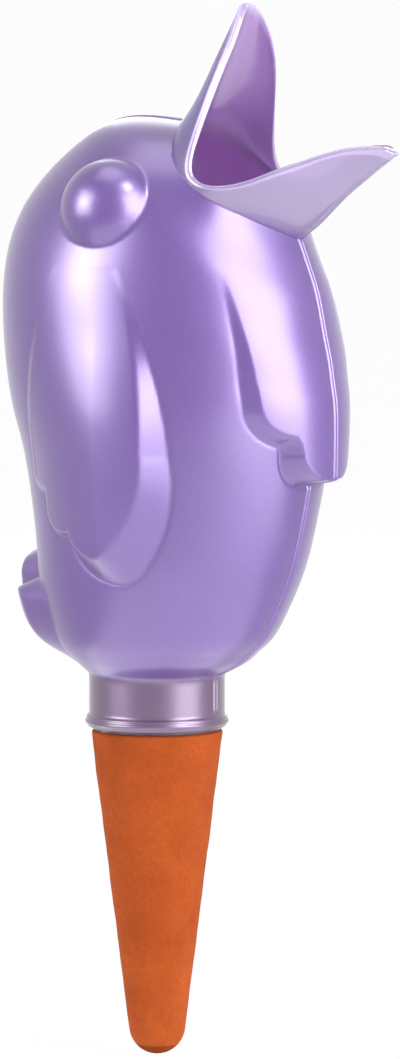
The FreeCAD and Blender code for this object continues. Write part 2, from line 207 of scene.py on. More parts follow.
def column_turns(measures):
    """Turn of each column: distance from the middle divided by the section's width
    near both seams, and even steps, a little denser at the front, between them."""
    width, keel = measures[..., 4:5], measures[..., 5:6]
    front = SEAM_COLUMNS / (width * (1 - keel))
    back = math.pi - SEAM_COLUMNS[::-1] / width
    share = np.linspace(0, 1, COLUMNS - 2 * len(SEAM_COLUMNS) + 2)[1:-1]
    share = share - FRONT_CROWDING * np.sin(math.pi * share) * np.cos(math.pi * share * 0.5)
    between = front[..., -1:] + (back[..., :1] - front[..., -1:]) * share
    return np.concatenate([front, between, back], -1)


def on_columns(measures):
    """Points of every column for sections given by their measures."""
    return section(measures[..., None, :], column_turns(measures))


# %% [markdown]
# ## The plain skin
# The skin is one grid from the foot of the neck up over the body and out to the rim of
# the beak. The body's last row is the crease where the beak starts: a loop across the
# mouth that sags back a little on both sides. Each column is a smooth curve through the
# listed sections up to that crease, and the beak takes over from the same points. Where
# the neck meets the body, the rows are averaged once with their neighbours.

# %% Skin from neck to rim
CREASE_SIZES = (1.0, 0.90, 1.055, 0.56)
CREASE_SAG, SAG_TURN, SAG_WIDTH = 2.2, 1.85, 0.62
NECK_ROWS, BODY_ROWS, BEAK_ROWS = 26, 262, 62
BEAK_START, BEAK_END, BEAK_SAMPLES, SAMPLE_STEP = -4.0, 1.12 * BEAK_REACH, 700, 10
BEAK_SPREAD, EASE_LENGTH = 0.12, 7.0
RIM_ROUND, RIM_PASSES = 0.8, 40
LIP_LEVEL, FINE_LEVEL, FINE_ROWS = 4.0, 4.2, 17


def crease_loop():
    """Loop across the mouth, moved back by the sag times a bell curve of the turn."""
    lower, upper, width, keel = CREASE_SIZES
    chest = MOUTH_CENTRE - MOUTH_UP * lower * MOUTH_HEIGHT / 2
    back = MOUTH_CENTRE + MOUTH_UP * upper * MOUTH_HEIGHT / 2
    measures = np.array([chest[0], chest[2], back[0], back[2], width * MOUTH_WIDTH / 2, keel])
    turns = column_turns(measures)
    sag = CREASE_SAG * np.exp(-((turns - SAG_TURN) / SAG_WIDTH) ** 2)
    return section(measures, turns) - MOUTH_AXIS * sag[:, None]


def even_places(line_of, start, end, count, samples=400):
    """Places along a parameter that lie at even distances on the mean column."""
    fine = np.linspace(start, end, samples)
    points = line_of(fine)
    length = np.linalg.norm(np.diff(points, axis=0), axis=-1).mean(-1)
    total = np.concatenate([[0], np.cumsum(length)])
    return np.interp(np.linspace(0, total[-1], count), total, fine)


def body_rows():
    """Each column is a smooth curve through its points on the listed sections."""
    net = np.concatenate([on_columns(body_measures()), crease_loop()[None]])
    columns = smooth_curve(np.arange(len(net)), net)
    places = even_places(columns, 0, len(net) - 1, BODY_ROWS)
    return columns(places)


def beak_rows():
    """For each column the distance runs from the crease to where the beak's surface
    meets the rim line, averaged with its neighbours so that the rim runs smoothly; near
    the crease the rows ease over from the body's last row."""
    fine = np.linspace(BEAK_START, BEAK_END, BEAK_SAMPLES)
    points = on_columns(beak_measures(fine))
    height = (points - MOUTH_CENTRE) @ MOUTH_UP
    distance = (points - MOUTH_CENTRE) @ MOUTH_AXIS
    past = distance - np.interp(height, RIM_HEIGHTS, RIM_DISTANCES)
    first = np.argmax(past > 0, axis=0)
    every = np.arange(COLUMNS)
    before, after = past[first - 1, every], past[first, every]
    stop = fine[first - 1] + (fine[1] - fine[0]) * before / (before - after)
    for _ in range(RIM_PASSES):
        mirrored = np.concatenate([stop[1:2], stop, stop[-2:-1]])
        stop = (mirrored[:-2] + 2 * stop + mirrored[2:]) / 4
    crease = crease_loop()
    start = (crease - MOUTH_CENTRE) @ MOUTH_AXIS
    share = np.linspace(0, 1, BEAK_ROWS)[:, None]
    share = share + BEAK_SPREAD * np.sin(2 * math.pi * share) / math.pi
    place = start + (stop - RIM_ROUND - start) * share
    column_points = smooth_curve(fine[::SAMPLE_STEP], points[::SAMPLE_STEP])
    rows = np.array([column_points(row)[every, every] for row in place])
    ease = np.clip(1 - (place - start) / EASE_LENGTH, 0, 1)
    ease = ease**2 * (3 - 2 * ease)
    return rows + (crease - rows[0]) * ease[..., None]


neck_levels = np.concatenate([
    np.linspace(0, FINE_LEVEL, FINE_ROWS),
    np.linspace(FINE_LEVEL, NECK_HEIGHT, NECK_ROWS - FINE_ROWS + 1)[1:]])
neck_measures = np.stack(np.broadcast_arrays(
    NECK_RADIUS, neck_levels, -NECK_RADIUS, neck_levels, NECK_RADIUS, 0.0), -1)
skin = np.concatenate([on_columns(neck_measures)[:-1], body_rows(), beak_rows()[1:]])
NECK_LAST = NECK_ROWS - 1
CREASE_ROW = NECK_LAST + BODY_ROWS - 1
beside = skin[NECK_LAST - 4:NECK_LAST + 2] + skin[NECK_LAST - 2:NECK_LAST + 4]
near_neck = slice(NECK_LAST - 3, NECK_LAST + 3)
skin[near_neck] = skin[near_neck] / 2 + beside / 4
print("skin grid:", skin.shape[:2], "rows and columns")

# %% [markdown]
# ## Outlines of wing, bib and tail
# Each relief has a foot, where it leaves the body, and a crest, the edge of its raised
# face. Both are drawn as arcs and straight stretches in shares of the relief's size: a
# pair of points is an arc by way of the first, and a single point is a straight stretch.
# A point of the skin then rises by its distance from the foot, compared with the whole
# way from foot to crest.

# %% Relief outlines
WING_FOOT = [
    [(0.23, 1.03)], [(0.455, 0.73), (0.525, 0.43)], [(0.465, 0.185), (0.33, 0.055)],
    [(0.245, 0.016), (0.13, 0.012)], [(0.00, 0.041), (-0.13, 0.122)], [(-0.135, 0.156)],
    [(-0.293, 0.164), (-0.351, 0.244)], [(-0.353, 0.292)],
    [(-0.447, 0.303), (-0.474, 0.359)], [(-0.423, 0.641), (-0.186, 1.03)],
]
WING_CREST = [
    [(0.23, 1.03)], [(0.407, 0.73), (0.44, 0.43)], [(0.345, 0.205), (0.235, 0.125)],
    [(0.15, 0.094), (0.06, 0.092)], [(-0.02, 0.108), (-0.107, 0.147)], [(-0.114, 0.172)],
    [(-0.274, 0.182), (-0.328, 0.256)], [(-0.330, 0.305)],
    [(-0.423, 0.320), (-0.456, 0.378)], [(-0.409, 0.654), (-0.163, 1.03)],
]
BIB_FOOT = [
    [(0.20, 1.03)], [(-0.508, 1.03)], [(-0.486, 0.68), (-0.450, 0.385)],
    [(-0.392, 0.266), (-0.255, 0.203)], [(-0.240, 0.157)], [(-0.185, 0.045), (-0.06, 0.014)],
    [(0.20, 0.014)],
]
BIB_CREST = [
    [(0.20, 1.03)], [(-0.510, 1.03)], [(-0.480, 0.68), (-0.443, 0.390)],
    [(-0.384, 0.284), (-0.266, 0.240)], [(-0.258, 0.213)], [(-0.19, 0.085), (-0.05, 0.028)],
    [(0.20, 0.028)],
]
TAIL_FOOT = [
    [(0.20, 0.00)], [(-0.22, 0.00)], [(-0.45, 0.25), (-0.535, 0.60)],
    [(-0.40, 0.76), (-0.215, 0.64)], [(-0.205, 0.72)], [(-0.13, 0.98), (0.00, 1.01)],
    [(0.20, 1.03)],
]
TAIL_CREST = [
    [(0.20, 0.04)], [(-0.20, 0.04)], [(-0.42, 0.27), (-0.49, 0.60)],
    [(-0.38, 0.715), (-0.225, 0.60)], [(-0.200, 0.68)], [(-0.12, 0.935), (0.00, 0.96)],
    [(0.20, 0.98)],
]
ARC_STEPS = 24
BEND_ROUNDING, OUTWARD_SHARE, SMALLEST_WAY = 0.07, 0.3, 0.1
GROOVE_DEPTH, GROOVE_PLACE, GROOVE_WIDTH = 0.06, -0.35, 0.55


def arc_points(start, via, end):
    """Circle through three points: the middle has equal distance from all of them,
    and the angle runs evenly from the first by way of the second to the last."""
    start, via, end = (np.array(point, float) for point in (start, via, end))
    system = 2 * np.array([via - start, end - start])
    right = np.array([via @ via - start @ start, end @ end - start @ start])
    middle = np.linalg.solve(system, right)
    radius = np.linalg.norm(start - middle)
    first, second, last = (math.atan2(*(point - middle)[::-1]) for point in (start, via, end))
    ahead, whole = (second - first) % (2 * math.pi), (last - first) % (2 * math.pi)
    sweep = whole if ahead < whole else whole - 2 * math.pi
    angle = first + np.linspace(0, 1, ARC_STEPS + 1)[1:] * sweep
    return middle + radius * np.stack([np.cos(angle), np.sin(angle)], -1)


def outline(shares, width, length, level):
    """Closed outline in millimetres from its stretches."""
    size, shift = np.array([width, length]), np.array([0.0, level])
    stretches = [[np.array(point) * size + shift for point in stretch] for stretch in shares]
    points = [stretches[0][0][None]]
    for stretch in stretches[1:]:
        corner = points[-1][-1]
        points.append(arc_points(corner, *stretch) if len(stretch) == 2 else stretch[0][None])
    return np.concatenate(points)


def inside_distance(across, up, shape):
    """Signed distance from a closed outline, positive inside: the least distance from
    all its edges, with the sign from the number of edges that a level line crosses."""
    point = np.stack([across.ravel(), up.ravel()], -1)[:, None]
    start, end = shape, np.roll(shape, -1, axis=0)
    edge = end - start
    length = np.maximum((edge**2).sum(-1), 1e-9)
    share = np.clip(((point - start) * edge).sum(-1) / length, 0, 1)
    distance = np.linalg.norm(point - start - share[..., None] * edge, axis=-1).min(-1)
    above = (start[:, 1] > point[..., 1]) != (end[:, 1] > point[..., 1])
    rise = np.where(edge[:, 1] == 0, 1, edge[:, 1])
    crossing = start[:, 0] + (point[..., 1] - start[:, 1]) * edge[:, 0] / rise
    inside = ((above & (point[..., 0] < crossing)).sum(-1) % 2) == 1
    return np.where(inside, distance, -distance).reshape(across.shape)


def lift(across, up, foot, crest, least_way):
    """Share of the relief: nought outside the foot, one inside the crest, and between
    them the distance from the foot over the whole way, with both bends rounded. Where
    foot and crest nearly meet, the way is widened to its least, partly outwards. A
    shallow groove, a bell curve of the distance, follows the foot on its outer side."""
    from_foot = inside_distance(across, up, foot)
    from_crest = inside_distance(across, up, crest)
    way = np.maximum(from_foot - from_crest, SMALLEST_WAY)
    wide = np.sqrt(way**2 + least_way**2)
    from_foot = from_foot + (wide - way) * OUTWARD_SHARE
    raw = from_foot / wide
    foot_bend = np.sqrt(raw**2 + BEND_ROUNDING**2)
    crest_bend = np.sqrt((raw - 1) ** 2 + BEND_ROUNDING**2)
    groove = GROOVE_DEPTH * np.exp(-((from_foot - GROOVE_PLACE) / GROOVE_WIDTH) ** 2)
    return np.clip((foot_bend - crest_bend + 1) / 2, 0, 1) - groove


# %% [markdown]
# ## Raising the reliefs
# The wing is raised straight out to the side, the bib forward and the tail backward, as
# the mould opens. Each height fades along the relief: the bib and the wing melt into the
# breast and the shoulder at their tops. The eye is a cap of a ball, and where it meets
# the head the two heights are blended over about half a millimetre.

# %% Reliefs
wing_height = smooth_curve(
    [13.8, 26, 32, 40, 50, 60, 72, 84, 95, 103, 110, 125],
    [0, 4.6, 5.5, 5.9, 6.0, 5.9, 5.3, 4.1, 2.3, 0.8, 0.1, 0.0])
bib_height = smooth_curve(
    [50, 60, 64, 72, 84, 96.5, 105, 112, 117, 125],
    [7.9, 7.8, 7.3, 6.2, 4.7, 2.9, 1.6, 0.6, 0.1, 0.0])
tail_height = smooth_curve(
    [10, 17, 20, 24, 31, 39, 47, 60], [0, 1.1, 3.3, 5.9, 7.3, 7.0, 5.2, 3.0])


# width, length and lowest level of each relief, and the least way across its wall
WING_SIZE, WING_WALL = (43.0, 78.0, 39.0), 1.2
BIB_SIZE, BIB_WALL = (50.0, 55.0, 63.4), 0.95
TAIL_SIZE, TAIL_WALL = (36.0, 30.0, 14.8), 2.8
# how far the wing's outlines lie further back, and how it fades to the middle and rear
FOOT_BACK, CREST_BACK, WING_SIDE = np.array([0.8, 0.0]), np.array([1.5, 0.0]), 10.0
WING_REAR, WING_RISE, REAR_SHARE, REAR_POWER = -19.0, 24.0, 0.18, 0.9
BIB_FALL = 1.55


def raise_wing(points):
    """Sideways shift: height at this level times the lift, less towards the back."""
    x, y, z = np.moveaxis(points, -1, 0)
    foot = outline(WING_FOOT, *WING_SIZE) - FOOT_BACK
    crest = outline(WING_CREST, *WING_SIZE) - CREST_BACK
    side = np.clip(-y / WING_SIDE, 0, 1)
    shift = wing_height(z) * lift(x, z, foot, crest, WING_WALL) * side
    forward = np.clip((x - WING_REAR) / WING_RISE, 0, 1) ** REAR_POWER
    shift = shift * (REAR_SHARE + (1 - REAR_SHARE) * forward)
    return points - np.stack([0 * x, shift, 0 * x], -1)


def raise_bib(points, turns):
    """Forward shift: height at this level times the lift, and less the further round
    the breast the point lies."""
    x, y, z = np.moveaxis(points, -1, 0)
    raised = lift(y, z, outline(BIB_FOOT, *BIB_SIZE), outline(BIB_CREST, *BIB_SIZE), BIB_WALL)
    fall = np.maximum(0, 1 - BIB_FALL * (1 - np.cos(turns)))
    shift = bib_height(z) * raised * fall * (x > 0)
    return points + np.stack([shift, 0 * x, 0 * x], -1)


def raise_tail(points, turns):
    """Backward shift: height at this level times the lift, by how far round it lies."""
    x, y, z = np.moveaxis(points, -1, 0)
    raised = lift(y, z, outline(TAIL_FOOT, *TAIL_SIZE), outline(TAIL_CREST, *TAIL_SIZE),
                  TAIL_WALL)
    shift = tail_height(z) * raised * (1 - np.cos(turns)) / 2 * (x < 0)
    return points - np.stack([shift, 0 * x, 0 * x], -1)


EYE_MIDDLE = np.array([2.02, -32.0, 136.6])
EYE_TILT = math.radians(29.0)
EYE_RADIUS, EYE_HEIGHT, EYE_BLEND = 11.8, 6.0, 0.6
EYE_REACH, EYE_DEPTH = 1.25, 9.0


def raise_eye(points):
    """Shift along the eye's own direction up to the ball, by the smooth maximum of
    the head's height and the ball's height above the same plane."""
    outward = np.array([0.0, -math.cos(EYE_TILT), math.sin(EYE_TILT)])
    height = EYE_HEIGHT + EYE_RADIUS**2 / BODY_WIDTH
    ball = (EYE_RADIUS**2 + height**2) / (2 * height)
    away = points - EYE_MIDDLE
    along = away @ outward
    aside = np.linalg.norm(away - along[..., None] * outward, axis=-1)
    cap = np.sqrt(np.maximum(ball**2 - aside**2, 0)) - (ball - EYE_HEIGHT)
    cap = np.where(aside < ball * 0.999, cap, -ball)
    gap = cap - along
    shift = (gap + np.sqrt(gap**2 + EYE_BLEND**2)) / 2
    near = (aside < EYE_RADIUS * EYE_REACH) & (along > -EYE_DEPTH)
    shift = np.where(near, shift, 0)
    return points + shift[..., None] * outward


def surface_normals(points):
    """Outward unit normals of a grid: the cross product of its steps along rows and
    columns, turned so that the normal in the middle of the right side points right."""
    along = np.gradient(points, axis=0)
    across = np.gradient(points, axis=1)
    normal = np.cross(across, along)
    if normal[len(points) // 2, COLUMNS // 2, 1] > 0:
        normal = -normal
    normal[:, 0, 1] = 0
    normal[:, -1, 1] = 0
    return normal / np.maximum(np.linalg.norm(normal, axis=-1, keepdims=True), 1e-9)


# the lip of the neck: how far it stands out at each level
BEAD_LEVELS = [0.0, 0.15, 0.5, 0.8, 1.1, 1.5, 1.9, 2.2, 2.45, 2.75, 3.05, 3.4, 3.8, 14.0]
BEAD_HEIGHTS = [-0.25, 0.2, 0.36, 0.5, 0.85, 1.08, 1.0, 0.72, 0.62, 0.78, 0.5, 0.12, 0.0, 0.0]
# the seam's ridges: how far they stand out at each distance from the middle
BAND_PLACES = [0, 0.2, 0.42, 0.62, 0.82, 0.98, 1.16]
BAND_HEIGHTS = [0.03, 0.06, 0.22, 0.32, 0.30, 0.14, 0.0]
BAND_STOP, BAND_FADE = 2, 14


def raise_bead(points, normals):
    """Outward shift of the neck's rings by the bead's height at their level."""
    level = points[..., 2]
    height = np.interp(level, BEAD_LEVELS, BEAD_HEIGHTS) * (level < LIP_LEVEL)
    flat = normals * np.array([1, 1, 0])
    return points + flat * height[..., None]


def raise_seam(points, normals):
    """The raised band: two low ridges 0.7 mm from the middle with a groove between
    them, given by the height at each distance from the middle. It runs out just before
    the rim of the beak."""
    aside = np.abs(points[..., 1])
    band = np.interp(aside, BAND_PLACES, BAND_HEIGHTS) * (points[..., 2] > LIP_LEVEL)
    rows_left = np.arange(len(points))[::-1, None]
    band = band * np.clip((rows_left - BAND_STOP) / BAND_FADE, 0, 1)
    return points + normals * band[..., None]


plain_normals = surface_normals(skin)
inner_skin = skin - WALL * plain_normals
centre_x = (skin[:, :1, 0] + skin[:, -1:, 0]) / 2
reach_x = (skin[:, :1, 0] - skin[:, -1:, 0]) / 2
all_turns = np.arccos(np.clip((skin[..., 0] - centre_x) / reach_x, -1, 1))
outer_skin = raise_bead(skin, plain_normals)
shaped = raise_eye(raise_tail(raise_bib(raise_wing(outer_skin), all_turns), all_turns))
on_body = slice(NECK_LAST, CREASE_ROW + 1)
outer_skin[on_body] = shaped[on_body]
outer_skin = raise_seam(outer_skin, surface_normals(outer_skin))
print("highest point of the skin:", outer_skin[..., 2].max().round(2), "mm")

# %% [markdown]
# ## Two half shells with a real wall
# The mould makes a wall about 2 mm thick, which shows at the open rim of the beak. So the
# inner skin is the plain skin moved inward by the wall, the rim is a small rounded turn
# from the outer to the inner skin, and a flat strip closes each half along the middle.

# %% Half shells
INNER_STEP, AHEAD_PASSES, SEAM_TURN = 8, 12, 2.0
TURN_STEPS, SQUARENESS = 18, 0.5
RIM_GROOVE, RIM_GROOVE_WIDTH = 0.5, 0.34
BEAK_EASE_ROWS, SHELL_SHARP = 3.0, 55


def rim_turn(outer, inner, ahead):
    """Rows over the rim: the middle of the wall, plus half the wall times a cosine and
    the rounding times a sine, both flattened, less a shallow groove along the middle."""
    angle = np.linspace(0, math.pi, TURN_STEPS + 1)[1:-1]
    side = np.sign(np.cos(angle)) * np.abs(np.cos(angle)) ** SQUARENESS
    out = np.abs(np.sin(angle)) ** SQUARENESS
    out = out * (1 - RIM_GROOVE * np.exp(-(np.cos(angle) / RIM_GROOVE_WIDTH) ** 2))
    middle, half = (outer + inner) / 2, (outer - inner) / 2
    return (middle + side[:, None, None] * half
            + out[:, None, None] * RIM_ROUND * ahead)


def rim_directions(outer):
    """Unit directions in which the skin runs out at the rim: they turn into the middle
    plane near the seam, and are averaged with their neighbours for a smooth rim."""
    ahead = outer[-1] - outer[-3]
    ahead[:, 1] *= np.clip(np.abs(outer[-1, :, 1]) / SEAM_TURN, 0, 1)
    for _ in range(AHEAD_PASSES):
        ahead[1:-1] = (ahead[:-2] + 2 * ahead[1:-1] + ahead[2:]) / 4
    return ahead / np.linalg.norm(ahead, axis=-1, keepdims=True)


inner_rows = np.unique(np.concatenate([
    np.arange(0, len(skin) - 1, INNER_STEP), [len(skin) - 1]]))
turn_rows = rim_turn(outer_skin[-1], inner_skin[-1], rim_directions(outer_skin))
loop = np.concatenate([outer_skin, turn_rows, inner_skin[inner_rows][::-1]])
loop[:, 0, 1] = 0
loop[:, -1, 1] = 0
INNER_START = len(outer_skin) + len(turn_rows)
print("closed loop of", len(loop), "rows")


def new_mesh_object(name, points, faces):
    """Object at the origin whose mesh holds the points, given in millimetres."""
    mesh = bpy.data.meshes.new(name)
    mesh.from_pydata((points * MM).tolist(), [], faces)
    mesh.validate()
    mesh.polygons.foreach_set("use_smooth", np.ones(len(mesh.polygons), bool))
    piece = bpy.data.objects.new(name, mesh)
    bpy.context.scene.collection.objects.link(piece)
    return piece


def grid_faces(rows, columns, close_rows=False, close_columns=False):
    """Four-cornered faces between neighbouring rows and columns of a grid."""
    row = np.arange(rows if close_rows else rows - 1)
    column = np.arange(columns if close_columns else columns - 1)
    row, column = (part.ravel() for part in np.meshgrid(row, column, indexing="ij"))
    next_row, next_column = (row + 1) % rows, (column + 1) % columns
    return np.stack([row * columns + column, row * columns + next_column,
                     next_row * columns + next_column, next_row * columns + column], -1)


def outward_faces(piece, sharp_angle):
    """Point every face of a closed mesh outwards and mark its sharp edges."""
    shape = bmesh.new()
    shape.from_mesh(piece.data)
    bmesh.ops.recalc_face_normals(shape, faces=shape.faces)
    if shape.calc_volume(signed=True) < 0:
        bmesh.ops.reverse_faces(shape, faces=shape.faces)
    print(piece.name, "volume in cm3:", round(shape.calc_volume() * 1e6, 1))
    shape.to_mesh(piece.data)
    shape.free()
    piece.data.set_sharp_from_angle(angle=math.radians(sharp_angle))
    return piece


def seam_faces(column):
    """Flat faces that close a half along one seam, from the outer to the inner skin."""
    faces = []
    for k, (low, high) in enumerate(zip(inner_rows, inner_rows[1:])):
        outer_part = [row * COLUMNS + column for row in range(low, high + 1)]
        inner_low = (len(loop) - 1 - k) * COLUMNS + column
        faces.append(outer_part + [inner_low - COLUMNS, inner_low])
    rim_rows = range(len(outer_skin) - 1, INNER_START + 1)
    return faces + [[row * COLUMNS + column for row in rim_rows]]


def point_share(mesh, name, share_of_row):
    """Point attribute for the finish, with one value for each row of the loop."""
    share = np.repeat(share_of_row.astype(np.float32), COLUMNS)
    mesh.attributes.new(name, "FLOAT", "POINT").data.foreach_set("value", share)


def half_shell(name, side):
    """One half of the bird; side is 1 for the right half and -1 for the left."""
    points = loop.reshape(-1, 3) * np.array([1, side, 1])
    faces = grid_faces(len(loop), COLUMNS, close_rows=True).tolist()
    faces += seam_faces(0) + seam_faces(COLUMNS - 1)
    piece = new_mesh_object(name, points, faces)
    row = np.arange(len(loop))
    beak = np.clip((np.arange(len(outer_skin)) - CREASE_ROW) / BEAK_EASE_ROWS, 0, 1)
    beak = np.concatenate([beak, np.ones(len(turn_rows)), beak[inner_rows][::-1]])
    point_share(piece.data, "beak", beak)
    point_share(piece.data, "rim", (row >= len(outer_skin) - 3) & (row <= INNER_START))
    point_share(piece.data, "inside", row >= INNER_START)
    outward_faces(piece, SHELL_SHARP)
    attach(piece, "root")
    return piece


right_half = half_shell("right_half", 1)
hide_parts("right_shell")
left_half = half_shell("left_half", -1)
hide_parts("left_shell")

# %% [markdown]
# ## The clay cone
# The cone is turned clay: a profile carried round the axis. Real fired clay is never
# quite even, so the radius wanders by up to a tenth of a millimetre with the height and
# the angle, and the shoulder has a worn, rounded edge.

# %% Clay cone
def turned(profile, steps):
    """Profile of radius and height carried round the axis."""
    angle = np.linspace(0, 2 * math.pi, steps, endpoint=False)
    radius, height = profile[:, 0][:, None], profile[:, 1][:, None]
    return np.stack([radius * np.cos(angle), radius * np.sin(angle),
                     height + 0 * angle], -1)


def rounded_profile(corners, roundings, steps=8):
    """Profile whose corners are arcs: each corner is cut back by its rounding along
    both sides, and a quadratic curve by way of the corner joins the two cuts."""
    corners = np.array(corners, float)
    points = [corners[:1]]
    for before, corner, after, cut in zip(corners, corners[1:], corners[2:], roundings):
        start = corner + (before - corner) / np.linalg.norm(before - corner) * cut
        end = corner + (after - corner) / np.linalg.norm(after - corner) * cut
        t = np.linspace(0, 1, steps + 1)[:, None]
        points.append((1 - t) ** 2 * start + 2 * t * (1 - t) * corner + t**2 * end)
    points.append(corners[-1:])
    return np.concatenate(points)


def refine(profile, spacing):
    """Profile with further points, so that no two lie further apart than the spacing."""
    length = np.concatenate([[0], np.cumsum(np.linalg.norm(np.diff(profile, axis=0), axis=1))])
    places = [length[:1]]
    for start, end in zip(length[:-1], length[1:]):
        count = max(1, int(math.ceil((end - start) / spacing)))
        places.append(np.linspace(start, end, count + 1)[1:])
    places = np.concatenate(places)
    return np.stack([np.interp(places, length, profile[:, k]) for k in (0, 1)], -1)


CONE_TOP, CONE_BOTTOM, CONE_RADIUS, TIP_RADIUS = -0.75, -84.4, 16.85, 7.2
SPIGOT_RADIUS, SPIGOT_HEIGHT, CLAY_WALL, BORE_END = 14.9, 10.5, 3.4, -17.0
BORE_RADIUS = SPIGOT_RADIUS - CLAY_WALL
CONE_STEPS, CLAY_WANDER, CLAY_SHARP = 160, 0.05, 60
CONE_ROUNDINGS, OUTER_SPACING, INNER_SPACING = (0.5, 0.3, 1.1), 0.9, 3.0


def tip_profile(top_radius, top, bottom, radius, steps=22):
    """Arc of the tip: from where the straight side leaves it to its lowest point."""
    centre = bottom + radius
    rise = top - centre
    taper = math.acos(radius / math.hypot(top_radius, rise)) - math.atan2(rise, top_radius)
    angle = np.linspace(-taper, -math.pi / 2, steps)
    return np.stack([radius * np.cos(angle), centre + radius * np.sin(angle)], -1)


tip = tip_profile(CONE_RADIUS, CONE_TOP, CONE_BOTTOM, TIP_RADIUS)
outer_profile = rounded_profile(
    [(BORE_RADIUS, SPIGOT_HEIGHT), (SPIGOT_RADIUS, SPIGOT_HEIGHT),
     (SPIGOT_RADIUS, CONE_TOP), (CONE_RADIUS, CONE_TOP), tuple(tip[0])],
    CONE_ROUNDINGS)
hollow_tip = tip_profile(BORE_RADIUS, BORE_END, CONE_BOTTOM + CLAY_WALL,
                         TIP_RADIUS - CLAY_WALL)
inner_profile = np.concatenate([
    [(BORE_RADIUS, SPIGOT_HEIGHT), (BORE_RADIUS, BORE_END)], hollow_tip[:-1]])
outer_points = refine(np.concatenate([outer_profile[:-1], tip[:-1]]), OUTER_SPACING)
inner_points = refine(inner_profile, INNER_SPACING)


def closed_turning(name, outer_line, inner_line, outer_end, inner_end, steps=CONE_STEPS):
    """Solid of revolution between two lines that both end on the axis. The outer radius
    wanders by a sum of three sines of the level and the angle."""
    outside = turned(outer_line, steps)
    angle = np.linspace(0, 2 * math.pi, steps, endpoint=False)
    level = outer_line[:, 1][:, None]
    uneven = (np.sin(level * 0.23 + 3 * angle) + np.sin(level * 0.41 - 2 * angle + 1.3)
              + 0.6 * np.sin(level * 0.9 + 5 * angle))
    outside[..., :2] *= 1 + CLAY_WANDER * uneven[..., None] / outer_line[:, 0].max()
    inside = turned(inner_line, steps)
    ring = np.concatenate([inside[::-1], outside[1:]])
    points = np.concatenate([ring.reshape(-1, 3), [(0, 0, inner_end), (0, 0, outer_end)]])
    faces = grid_faces(len(ring), steps, close_columns=True).tolist()
    here = np.arange(steps)
    last = (len(ring) - 1) * steps
    inner_pole, outer_pole = len(points) - 2, len(points) - 1
    faces += np.stack([here, (here + 1) % steps, np.full(steps, inner_pole)], -1).tolist()
    faces += np.stack([last + (here + 1) % steps, last + here,
                       np.full(steps, outer_pole)], -1).tolist()
    return new_mesh_object(name, points, faces)


cone = outward_faces(closed_turning(
    "clay_spike", outer_points, inner_points, CONE_BOTTOM, CONE_BOTTOM + CLAY_WALL),
    CLAY_SHARP)
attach(cone, "root")
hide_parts("clay_cone")
print("clay cone:", len(cone.data.polygons), "faces")

# %% [markdown]
# ## The sealant
# A clear sealant bonds the spigot of the cone into the neck. It fills the gap under the
# lip, pulls in a little as it sets, and a small drop has run out on the right side.

# %% Sealant
SEAL_INNER, SEAL_OUTER, SEAL_FACE = SPIGOT_RADIUS + 0.02, 15.28, 16.0
SEAL_TOP, SEAL_BOTTOM, SEAL_HOLLOW = 8.4, CONE_TOP + 0.02, 0.25
SEAL_SPACING, SEAL_STEPS, SEAL_SHARP = 1.2, 128, 50
DROP_TURN, DROP_WIDTH, DROP_SHARE = math.radians(-116), 0.075, 0.05
DROP_LEVEL, DROP_RADIUS = -0.05, 15.5


def sealant_profile():
    """Closed profile: up the spigot, out into the gap, and back by way of a face that
    is hollowed by a parabola of the level."""
    level = np.linspace(0, SEAL_BOTTOM, 9)
    hollow = 1 - (2 * level / level[-1] - 1) ** 2
    face = np.stack([SEAL_FACE - SEAL_HOLLOW * hollow, level], -1)
    back = [(SEAL_INNER, level[-1]), (SEAL_INNER, SEAL_TOP), (SEAL_OUTER, SEAL_TOP),
            (SEAL_OUTER, 0.0)]
    return np.concatenate([back, face, back[:1]])


ring = turned(refine(sealant_profile(), SEAL_SPACING)[:-1], SEAL_STEPS)
ring_angle = np.arctan2(ring[..., 1], ring[..., 0])
near_drop = np.exp(-((ring_angle - DROP_TURN) / DROP_WIDTH) ** 2)
ring_radius = np.hypot(ring[..., 0], ring[..., 1])
on_face = (ring[..., 2] < DROP_LEVEL) & (ring_radius > DROP_RADIUS)
ring[..., :2] *= 1 + (near_drop * on_face * DROP_SHARE)[..., None]
sealant = outward_faces(new_mesh_object(
    "sealant_bead", ring.reshape(-1, 3),
    grid_faces(len(ring), SEAL_STEPS, True, True).tolist()), SEAL_SHARP)
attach(sealant, "root")
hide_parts("sealant_ring")

# %% [markdown]
# ## Finishes
# Every finish is a small tree of shader nodes on Object coordinates, so that it holds
# from all sides. Small helpers make the nodes and links, and the finishes below read as
# lists of what they mix.

# %% Node helpers
def new_finish(name):
    """Material with an empty node tree, its Principled shader and its output."""
    finish = bpy.data.materials.new(name)
    finish.use_nodes = True
    tree = finish.node_tree
    tree.nodes.clear()
    shader = tree.nodes.new("ShaderNodeBsdfPrincipled")
    output = tree.nodes.new("ShaderNodeOutputMaterial")
    tree.links.new(shader.outputs[0], output.inputs["Surface"])
    return finish, tree, shader


def node(tree, kind, settings=None, **inputs):
    """Node with its settings, and its inputs set to values or linked to sockets. An
    input is called by its name, or by i and its number where names repeat."""
    made = tree.nodes.new(kind)
    for key, value in (settings or {}).items():
        setattr(made, key, value)
    for key, value in inputs.items():
        numbered = key[0] == "i" and key[1:].isdigit()
        socket = made.inputs[int(key[1:]) if numbered else key.replace("_", " ")]
        if isinstance(value, bpy.types.NodeSocket):
            tree.links.new(value, socket)
        else:
            socket.default_value = value
    return made


def ramp(tree, value, stops):
    """Colour ramp from a list of places and colours."""
    made = tree.nodes.new("ShaderNodeValToRGB")
    tree.links.new(value, made.inputs[0])
    elements = made.color_ramp.elements
    while len(elements) < len(stops):
        elements.new(0.5)
    for element, (place, colour) in zip(elements, stops):
        element.position = place
        element.color = (*colour, 1.0)
    return made.outputs[0]


